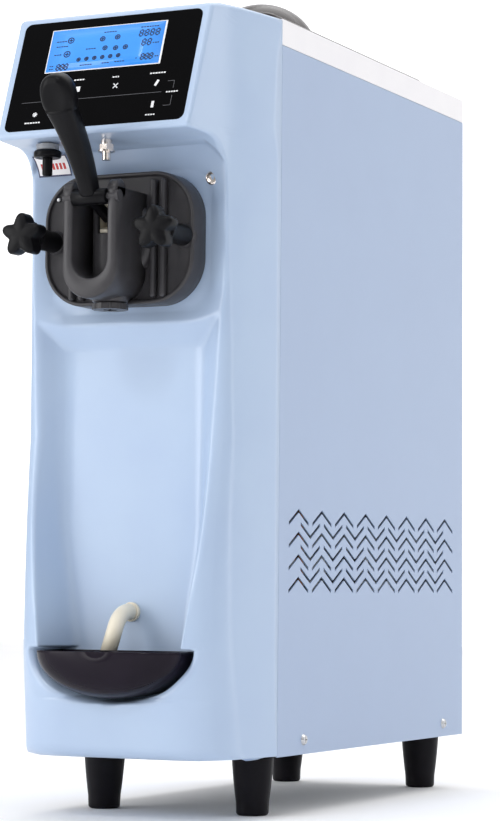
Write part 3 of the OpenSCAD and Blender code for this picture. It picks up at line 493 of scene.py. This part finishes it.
captions = (caption(-21.8, 46.9, [2.1, 1.8, 2.2, 1.9]) + caption(14.3, 46.7, [1.9, 1.6, 1.4])
            + caption(55.1, 47, [2, 1.7, 2.2, 2, 1.6, 2]) + caption(72.3, 27.5, [1.6, 1.9, 1.5, 1.9, 1.6])
            + caption(-60.5, 7.6, [2.1, 1.8, 2.2, 2, 1.7, 2]) + caption(55.1, 6.6, [1.7, 1.9, 1.6, 1.7]))
strokes("key_captions", captions, 1.25, 0.3, white_ink, "display_glass")
strokes("key_lines", [(66.4, 38.2, 72.8, 38.2), (72.8, 38.2, 72.8, 31), (72.9, 24, 72.9, 14.5), (66, 14.5, 72.9, 14.5),
                      (-75.5, 28, 62, 28)], 0.45, 0.3, grey_ink, "display_glass")

lcd_u, lcd_v = -2, 77.7
panel = layers(56.1, 20.9, 1.0, [(0, 0.3, 0), (0, 0.3, 0.5), (0, 0.3, 1), (0, 0.28, 1), (0, 0.2, 1), (0, 0.2, 0.5),
                                 (0, 0.2, 0)], n=4)[::-1]
lcd = mesh_from("lcd_face", on_glass(panel[..., 0] + lcd_u, panel[..., 1] + lcd_v, panel[..., 2]),
                wrap_columns=True, closed=True)
# Backlit LCD behind clear glass: an even blue glow under a gloss
lcd_blue = finish("blue_lcd_backlight", ("#2F7FD8", "#3A88DE"), 40, 0.12, height=0, rough_drift=0,
                  Emission_Color=linear("#3F95F2"), Emission_Strength=0.34)
fit(lcd, lcd_blue, "housing", "lcd", "lcd_module")
strokes("lcd_frame", [(-58.1, 56.6, 54.4, 56.6), (54.5, 56.2, 54.5, 99), (-58, 98.8, 54.4, 98.8),
                      (-58.3, 56.2, -58.3, 99)], [0.9, 1.7, 0.6, 0.8], 0.34, white_ink, "lcd")
# Its segments are laid out on a face 61 by 24.5 mm to each side, then drawn in to the size of this one
squeeze = np.array([0.92, 0.853, 0.92, 0.853])
shift = np.array([lcd_u, lcd_v] * 2) - np.array([-2, 78] * 2) * squeeze


def digits(u, v, height, count, pitch):
    """Seven-segment eights in a row, leaning a little: two uprights of two strokes and three bars each."""
    w, made = height * 0.5, []
    for i in range(count):
        x, s = u + i * pitch, 0.12 * height
        for y0, y1 in ((0.07, 0.45), (0.55, 0.93)):
            for side in (0, w):
                made.append((x + side + s * y0, v + y0 * height, x + side + s * y1, v + y1 * height))
        for y in (0, 0.5, 1):
            made.append((x + 0.15 * w + s * y, v + y * height, x + 0.85 * w + s * y, v + y * height))
    return made


figures = (digits(32, 87, 7, 4, 5.8) + digits(36.5, 76, 7, 2, 5.8) + digits(38, 59.5, 6.4, 3, 4.6)
           + digits(-52, 55.5, 6.4, 3, 4.4))
dark_segments = finish("dark_lcd_segments", ("#0C1C3C", "#122548"), 20, 0.3, height=0)
strokes("lcd_figures", np.array(figures) * squeeze + shift, 1.2, 0.36, dark_segments, "lcd")
ring = np.linspace(0, 2 * np.pi, 9)


def wheel(u, v, r):
    """A small round symbol: eight short chords and a cross."""
    around = np.stack([u + r * np.cos(ring), v + r * np.sin(ring)], -1)
    chords = [tuple(np.r_[around[i], around[i + 1]]) for i in range(8)]
    return chords + [(u - r * 0.6, v, u + r * 0.6, v), (u, v - r * 0.6, u, v + r * 0.6)]


symbols = wheel(-41.5, 89.5, 3.2) + wheel(-43, 73.5, 3.4) + wheel(-7, 88, 2.6) + wheel(9, 88.6, 2.6)
for u in (-29, -20.5, -12, -3.5, 5, 13.5):
    symbols += wheel(u, 66.5 + 0.02 * u, 2.0)
for u, v in ((-2.5, 77), (9, 76), (19.5, 76)):
    symbols += wheel(u, v, 2.4)
for u, v, widths in (
        (-51.5, 89, [2.6, 1.8, 2.4, 2]), (-50, 83, [2, 1.8, 2, 1.8, 2]), (-53, 73.5, [2.2, 1.8, 2.1]),
        (0, 95.5, [2.2, 1.8, 2.5, 2, 1.9]), (42, 97.5, [2.4, 2, 2.3, 2, 1.9, 2.2, 1.8]), (-18, 77.5, [2, 2.4, 1.8, 2.2]),
        (-20, 59, [2, 1.8, 2.4, 1.8, 2]), (1, 59.3, [2.1, 1.9, 2.2]), (16, 59.6, [2, 2.2, 1.9, 2.1]),
        (-57.5, 60.5, [1.6, 1.8]), (-57.5, 57, [1.8, 1.6]), (51.5, 78, [1.6, 2, 1.6]), (55, 62, [1.6, 1.4]),
        (33.5, 61.5, [1.4])):
    symbols += caption(u, v, widths)
strokes("lcd_symbols", np.array(symbols) * squeeze + shift, 1.0, 0.36, dark_segments, "lcd")
recolour(finish("green_solder_mask", ("#1F5B34", "#28693E"), 15, 0.4), "control_board")

# ---------------------------------------------------------------- Dispensing head
# The door that shuts the freezing cylinder: one heavy block moulded in charcoal glass-filled nylon, with a raised rim,
# four upright ribs, a round boss, and the U bracket and valve housing standing on it.
head_z = 498.0


def turned(profile, centre, axis, steps=48, start=0.0):
    """A profile of (radius, distance) carried round an axis through centre: radius times cosine and sine."""
    profile = np.array(profile, float)
    a = start + np.arange(steps) * 2 * np.pi / steps
    ring_a, ring_b = profile[:, :1] * np.cos(a), profile[:, :1] * np.sin(a)
    along = profile[:, 1:] + 0 * ring_a
    order = {"X": (along, ring_a, ring_b), "Y": (ring_a, along, ring_b), "Z": (ring_a, ring_b, along)}[axis]
    off = {"X": (0, centre[0], centre[1]), "Y": (centre[0], 0, centre[1]), "Z": (centre[0], centre[1], 0)}[axis]
    return np.stack([order[i] + off[i] for i in range(3)], -1)


def gather(name, *grids):
    """One object from several closed skins, each a grid whose columns wrap."""
    whole = bmesh.new()
    for grid in grids:
        one = mesh_from(name, grid, wrap_columns=True, closed=True)
        whole.from_mesh(one.data)
        bpy.data.meshes.remove(one.data)
    mesh = bpy.data.meshes.new(name)
    whole.to_mesh(mesh)
    whole.free()
    mesh.shade_smooth()
    made = bpy.data.objects.new(name, mesh)
    bpy.context.collection.objects.link(made)
    return made


def standing(rings, x, z):
    """Lays rings that were built in a plane against the front, so that their height runs along Y."""
    return np.stack([rings[..., 0] + x, rings[..., 2], rings[..., 1] + z], -1)


door = standing(layers(73.5, 57.5, 40, [
    (0, -180, 0), (0, -180, 0.5), (3, -180, 1), (0.6, -180.2, 1), (0, -181, 1), (0, -190, 1), (0, -202, 1),
    (0.3, -203.2, 1), (1.0, -203.9, 1), (1.6, -204, 1), (2.6, -204, 1), (3.1, -203.8, 1), (3.4, -203.2, 1),
    (3.6, -202.2, 1), (4.0, -201.4, 1), (5.0, -201, 1), (22, -201, 1), (22, -201, 0.5), (22, -201, 0)],
    n=16), 0, head_z)
ribs = [standing(layers(2.4, 51, 2.2, [
    (0, -200, 0), (0, -200, 1), (0, -206.0, 1), (0.35, -207.2, 1), (1.1, -207.9, 1), (1.9, -208, 1), (1.9, -208, 0)],
    n=5), x, 497) for x in (-45, -35.5, 35.5, 45)]
boss = turned([(0, -200), (38.2, -200), (37.4, -201.6), (37, -203), (36.6, -204.9), (35.4, -206.7), (33.6, -208.2),
               (31.6, -208.9), (30, -209), (14, -209), (0, -209)], (0, head_z), "Y", 96)
knob_bosses = [turned([(0, -200), (11.4, -200), (10.4, -201.4), (10, -202), (10, -202.9), (9.4, -203.7), (8.4, -204),
                       (0, -204)], (x, head_z), "Y", 40) for x in (-64, 64)]


def u_bracket():
    """The U is a band between an outer and an inner line, both straight legs on a half circle. Round the band's
    own section the points step from outer edge to inner edge and from the back to the front, with eased corners."""
    t = np.linspace(0, 1, 61)
    leg = np.clip(t / 0.3, 0, 1) - np.clip((t - 0.7) / 0.3, 0, 1)
    sweep = np.clip((t - 0.3) / 0.4, 0, 1) * np.pi
    outer = np.stack([-26 * np.cos(sweep), 536 - leg * (536 - 467.4) - 26 * np.sin(sweep)], -1)
    inner = np.stack([-17 * np.cos(sweep), 536 - leg * (536 - 475.5) - 17 * np.sin(sweep)], -1)
    thick = np.linalg.norm(outer - inner, axis=1)[:, None]
    step_in = np.array([0, 0, 0.7, 2.0, 2.0, 0.7, 0, 0])[None, :]
    from_outer = np.array([1, 1, 1, 1, 0, 0, 0, 0])[None, :]
    share = np.where(from_outer > 0, step_in / thick, 1 - step_in / thick)
    y = np.array([-200, -252, -253.4, -254, -254, -253.4, -252, -200.0])[None, :] + 0 * share
    across_band = outer[:, None, :] + (inner - outer)[:, None, :] * share[..., None]
    grid = np.stack([across_band[..., 0], y, across_band[..., 1]], -1)
    ends = [np.repeat(row.mean(0)[None, None], grid.shape[1], 1) for row in (grid[0], grid[-1])]
    return np.concatenate([ends[0], grid, ends[1]], 0)


ears = [turned([(0, a), (7.7, a), (8.5, a + s * 0.8), (8.5, b - s * 0.8), (7.7, b), (3.1, b), (0, b)],
               (-245.5, 534.5), "X", 40) for a, b, s in ((17, 26, 1), (-17, -26, -1))]
# The housing's wall as (radius, height, drop below the lip). The lip is low in front, where the lever's toe enters
angle = np.arange(96) * 2 * np.pi / 96
lip = np.where(np.abs((np.degrees(angle) - 270 + 180) % 360 - 180) < 23, 500.0, 531.0)
valve_wall = np.array([
    (12, 446, 0), (12, 500, 0), (12, 0, -0.8), (12.8, 0, 0), (14.7, 0, 0), (15.5, 0, -0.8), (15.5, 499, 0),
    (15.5, 442.4, 0), (14.7, 441.4, 0), (12.2, 441.4, 0), (12.2, 437.4, 0), (9, 437.4, 0), (9, 446, 0)])
stated, dropped = valve_wall[:, 1:2], valve_wall[:, 2:]
valve_z = np.where(stated > 0, np.minimum(stated, lip[None, :]), lip[None, :] + dropped)
housing_tube = np.stack([valve_wall[:, :1] * np.cos(angle), -216 + valve_wall[:, :1] * np.sin(angle), valve_z], -1)
housing_tube = np.concatenate([housing_tube, housing_tube[:1]], 0)
dowel = turned([(0, -200), (2.2, -200), (2.2, -202.2), (1.7, -202.9), (0, -203.1)], (-61, 536), "Y", 20)
head = gather("dispensing_head_block", door, *ribs, boss, *knob_bosses, u_bracket(), *ears, housing_tube)
# Glass-filled nylon from a polished mould: charcoal, half gloss, with a faint flow mottling 20 mm across
charcoal_nylon = finish("moulded_charcoal_nylon", ("#39383B", "#414043"), 20, 0.36, grain=0.9, height=0.012,
                        rough_drift=0.1, ior=1.53, Specular_IOR_Level=0.3)
fit(head, charcoal_nylon, "housing", "black_plastic", "dispensing_head")
recolour(charcoal_nylon, "pivot_pin")
fit(gather("locating_dowel", dowel), stainless, "housing", "steel")
recolour(charcoal_nylon, "nozzle_cap", "power_inlet", "switch_housing", "gearbox_pulley", "motor_pulley", "fan_blade")
ivory = finish("moulded_ivory_acetal", ("#E6DDC8", "#EFE8D6"), 25, 0.35, grain=0.8, height=0.006)
recolour(ivory, "valve_plunger")
seal = finish("seal_rubber", ("#2C2C2C", "#373737"), 8, 0.6, grain=0.6, height=0.02)
recolour(seal, "plunger_rings", "shaft_seal", "compressor_mounts")
recolour(finish("pale_silicone", ("#CFCBBF", "#D8D4C8"), 10, 0.5), "head_seal")

# ---------------------------------------------------------------- Draw lever
# One black moulding: a hub on the pin between the bracket's arms, a curved neck, and an oval paddle with a
# shallow dish for the thumb. A short toe behind the hub lifts the plunger.
black_lever = finish("moulded_black_nylon", ("#0B0B0E", "#111114"), 18, 0.36, grain=0.9, height=0.01, rough_drift=0.1,
                     ior=1.53, Specular_IOR_Level=0.12)


def swept(line, half_wide, half_thick, power=3.0, steps=32, across=(1.0, 0.0, 0.0)):
    """A section carried along a line in the YZ plane. The section is |x/a|^p + |n/b|^p = 1, a superellipse
    whose half width a and half thickness b change along the way; each end is drawn in to a point."""
    run = np.gradient(line, axis=0)
    run /= np.linalg.norm(run, axis=1)[:, None]
    normal = np.stack([-run[:, 1], run[:, 0]], -1)
    a = np.arange(steps) * 2 * np.pi / steps
    c = np.sign(np.cos(a)) * np.abs(np.cos(a)) ** (2 / power)
    s = np.sign(np.sin(a)) * np.abs(np.sin(a)) ** (2 / power)
    yz = line[:, None, :] + normal[:, None, :] * (half_thick[:, None] * s)[..., None]
    return np.concatenate([half_wide[:, None, None] * c[None, :, None], yz], -1)


pin_y, pin_z = -252, 528
neck_line = lean((pin_y, pin_z), (-267, 566), (-305, 598), 40)
t = np.linspace(0, 1, 40)
start_up = np.minimum(t / 0.04, 1)
taper = np.sqrt(np.clip(start_up * (2 - start_up), 0, 1))
neck = swept(neck_line, (7.6 + 1.6 * t + 4.2 * t ** 3) * taper, (7.4 + 4.2 * np.sin(np.pi * t * 0.8)) * taper)
neck = np.concatenate([neck, np.repeat(neck[-1].mean(0)[None, None], neck.shape[1], 1)], 0)
hub = turned([(3.05, -16.6), (6.2, -16.6), (6.85, -16.0), (6.85, 16.0), (6.2, 16.6), (3.05, 16.6), (3.05, -16.6)],
             (pin_y, pin_z), "X", 40)


def paddle():
    """An oval pad tilted 24 degrees. Its surface is a superellipsoid of half axes a, b and c; on the face the skin
    sinks by 2.4 (1 - (r/0.74)^2)^1.2 mm to make the thumb dish, r being 1 at the pad's outline."""
    half_wide, half_thick, half_tall, tilt = 15.4, 10.5, 19.4, math.radians(24)
    v = np.linspace(-np.pi / 2, np.pi / 2, 41)[:, None]
    u = np.arange(48)[None, :] * 2 * np.pi / 48
    shape = lambda x, p: np.sign(x) * np.abs(x) ** p
    px = half_wide * shape(np.cos(v), 0.8) * shape(np.cos(u), 0.9)
    pz = half_tall * shape(np.sin(v), 0.9) + 0 * u
    py = half_thick * shape(np.cos(v), 0.55) * shape(np.sin(u), 0.55)
    r = np.hypot(px / half_wide, pz / half_tall)
    dish = 2.4 * np.clip(1 - (r / 0.74) ** 2, 0, None) ** 1.2
    py = np.where(py < 0, py + dish, py)
    y = -306.6 + py * math.cos(tilt) - pz * math.sin(tilt)
    z = 605.4 + py * math.sin(tilt) + pz * math.cos(tilt)
    return np.stack([px, np.maximum(y, -319.9), z], -1)


toe_reach, toe_drop = np.linspace(0, 38.5, 12), math.radians(25)
toe_line = np.stack([pin_y + toe_reach * math.cos(toe_drop), pin_z - toe_reach * math.sin(toe_drop)], -1)
toe_round = np.sqrt(np.clip(1 - (np.clip(np.linspace(0, 1, 12) - 0.9, 0, None) / 0.1001) ** 2, 0, 1))
toe = swept(toe_line, 4.4 * toe_round, np.linspace(4.9, 3.4, 12) * toe_round, power=4.0, steps=24)
lever = gather("draw_lever", neck, hub, paddle(), toe)
fit(lever, black_lever, "lever", "black_plastic", "lever")

# ---------------------------------------------------------------- Star knobs
# Two black moulded knobs screwed onto the studs hold the head on. Each has five rounded lobes on a long neck
# that flares where it bears on the head.


def star_knob(x):
    """Rings round the stud. On the star the radius is 12.2 + 7.0((1+cos 5a)/2)^0.9 mm, drawn in at both faces so
    that the edges are rounded; along the neck it is a plain circle that flares at its foot."""
    a = np.arange(120)[None, :] * 2 * np.pi / 120
    lobes = 12.2 + 7.0 * ((1 + np.cos(5 * (a - np.pi / 2))) / 2) ** 0.9
    rings = [(0, 0, -262.4), (0, 0.35, -262.4), (0, 0.8, -262), (0, 0.92, -261.3), (0, 0.975, -260.3), (0, 1, -258.8),
             (0, 1, -253), (0, 1, -248.4), (0, 0.975, -247), (0, 0.92, -246.2), (13.6, 0, -246), (13.2, 0, -244.5),
             (11.6, 0, -240), (10.2, 0, -235), (9.4, 0, -228), (9.2, 0, -220), (9.2, 0, -210), (9.5, 0, -206.4),
             (9.3, 0, -204.6), (4.2, 0, -204.4), (4.2, 0, -240), (0, 0, -240)]
    rows = [np.full(a.shape, plain) if plain or not share else lobes * share for plain, share, _ in rings]
    radius = np.concatenate(rows, 0)
    y = np.array([ring_y for *_, ring_y in rings])[:, None] + 0 * radius
    return np.stack([x + radius * np.cos(a), y, head_z + radius * np.sin(a)], -1)


for x, side in ((64, "right"), (-64, "left")):
    knob = gather(side + "_clamp_knob", star_knob(x))
    fit(knob, black_lever, side + "_knob", "black_plastic", side + "_star_knob")

# ---------------------------------------------------------------- Drip tray and drain tube
# The tray is a scoop vacuum-formed in dark plum plastic that slides into the shell's pocket. The ivory tube is a bent
# length of rigid hose from the cylinder's rear seal, cut square above the tray.


def tray_scoop():
    """Half ellipses 70k wide and 40k deep below the rim. k grows from 0 to 1 over the back wall, stays 1 along the
    pocket, then falls as the square root of a cosine while the front bulges 27 mm."""
    swell = np.radians(np.linspace(4, 90, 26))
    k = np.r_[0, 0.3, 0.7, 0.94, 0.985, 1, 1, 1, 1, np.sqrt(np.clip(np.cos(swell), 0, 1))]
    y = np.r_[-171.6, -171.6, -171.6, -171.6, -171.9, -173, -185, -196, -206, -207 - 27 * np.sin(swell)]
    a = np.linspace(0, np.pi, 65)[None, :]
    return np.stack([70 * k[:, None] * np.cos(a), y[:, None] + 0 * a, 143.9 - 40 * k[:, None] * np.sin(a)], -1)


tray = mesh_from("drip_scoop", tray_scoop()[::-1])
# Vacuum-formed acrylic-capped ABS: nearly black plum with a wet gloss
plum = finish("glossy_plum_abs", ("#140E1A", "#19121F"), 40, 0.16, grain=2.5, height=0.006, rough_drift=0.04, ior=1.5,
              Specular_IOR_Level=0.16)
tray_wall = tray.modifiers.new("wall", "SOLIDIFY")
tray_wall.thickness, tray_wall.offset = 0.0026, -1
fit(tray, plum, "drip_tray", "dark_tray_plastic", "drip_tray")


def pipe(line, radii, steps=40):
    """Circles of the given radii carried along a line in the YZ plane at X = 0."""
    return swept(line, radii, radii, power=2.0, steps=steps)


hose_line = np.vstack([[[-156, 177], [-170, 177]], turn((-178, 153), 24, 90, 150, 22),
                       [[-178 - 24 * math.sin(math.radians(60)) - 8, 165 - 8 * math.sqrt(3)]]])
down = np.array([-math.sin(math.radians(30)), -math.cos(math.radians(30))])
hose_line[-1] = hose_line[-2] + down * 22.4
hose = pipe(hose_line, np.full(len(hose_line), 7.0))
bore = pipe(hose_line, np.full(len(hose_line), 4.6))
cut = 144.9
for skin in (hose, bore):
    spare = skin[-1, :, 2] - cut
    skin[-1] += np.stack([0 * spare, down[0] * spare / -down[1], -spare], -1)
hose_skin = np.concatenate([hose, bore[::-1], hose[:1]], 0)
collar = turned([(6.9, -170), (8.0, -170.1), (8.4, -170.8), (8.4, -173.9), (8.0, -174.5), (6.9, -174.6),
                 (6.9, -170)], (0, 177), "Y", 40)
drain = gather("drain_hose", hose_skin, collar)
fit(drain, ivory, "housing", "ivory_plastic", "drain_tube")

# ---------------------------------------------------------------- Hopper lid
# A smoked clear moulding lies over the hopper: a flat rounded plate with a turned-down edge and a round dome.
smoked = finish("smoked_polycarbonate", ("#1C1313", "#241818"), 60, 0.22, height=0, rough_drift=0.03, ior=1.58,
                Specular_IOR_Level=0.3)
plate = layers(93, 184.5, 20, [
    (0, 712, 0), (0, 712, 0.5), (8, 712, 1), (3, 711.8, 1), (1.2, 711, 1), (0.3, 709.6, 1), (0, 708, 1), (0, 702, 1),
    (0.4, 701.5, 1), (2.2, 701.5, 1), (2.6, 702, 1), (2.6, 708.8, 1), (3.2, 709.2, 1), (8, 709.3, 1), (8, 709.3, 0.5),
    (8, 709.3, 0)], n=12)
plate = plate + np.array([0, 81.5, 0])
rise = np.radians(np.linspace(0, 90, 28))
dome_line = np.stack([54 * np.cos(rise), 712 + 48 * np.sin(rise)], -1)  # half an ellipse, 54 mm by 48 mm
dome = turned(np.vstack([[[0, 710]], [[58, 710], [56.4, 711.9], [54.6, 712.8]], dome_line[1:]]), (0, 74), "Z", 96)
lid = gather("smoked_lid", plate, dome)
fit(lid, smoked, "hopper_lid", "smoked_plastic", "hopper_lid")

# ---------------------------------------------------------------- Feet and small fittings
# Four tapered rubber feet are screwed to the base pan. The stop bolt and its nut are plated steel, the face screw
# has a decorative dome head, the toggle turns in a cast collar, and the mains rocker has a red key.
foot_rubber = finish("moulded_black_rubber", ("#0C0A10", "#121016"), 12, 0.45, grain=0.8, height=0.02, ior=1.52,
                     Specular_IOR_Level=0.12)
recolour(foot_rubber, "feet")
bright_plate = finish("bright_nickel_plate", ("#D9CFC8", "#EDE5DF"), 8, 0.14, grain=1.0, height=0.003, metallic=1.0)
recolour(bright_plate, "stop_bolt", "stop_bolt_nut", "face_screw")
recolour(black_lever, "toggle_knob")
recolour(finish("grey_cast_zinc", ("#8E9094", "#A0A2A6"), 6, 0.42, grain=0.5, height=0.03), "toggle_collar")
recolour(finish("red_lamp_plastic", ("#B01A16", "#C2211B"), 10, 0.25), "rocker")

# ---------------------------------------------------------------- Refrigeration and drive
# Inside the casing: a painted compressor, copper pipework, a finned aluminium condenser and its fan, and the
# motor, belt and gearbox that turn the beater.
black_paint = finish("black_stove_enamel", ("#141414", "#1D1D1D"), 30, 0.35, grain=1.5, height=0.02)
recolour(black_paint, "compressor", "motor", "fan_motor")
copper = finish("drawn_copper_tube", ("#B36E42", "#C4804F"), 12, 0.3, grain=1.2, height=0.005, metallic=1.0)
recolour(copper, "evaporator_coil", "refrigerant_pipes", "filter_drier")
recolour(finish("mill_aluminium_fins", ("#B4B7BA", "#C6C9CC"), 10, 0.35, metallic=1.0), "condenser")
recolour(finish("poured_foam", ("#DDD5B4", "#E8E2C8"), 9, 0.9, grain=1.5, height=0.3), "insulation_jacket")
recolour(finish("grey_cast_iron", ("#5E6166", "#6C6F74"), 10, 0.55, grain=0.8, height=0.08, metallic=0.6), "gearbox")
recolour(finish("drive_belt_rubber", ("#161616", "#202020"), 10, 0.7), "drive_belt")
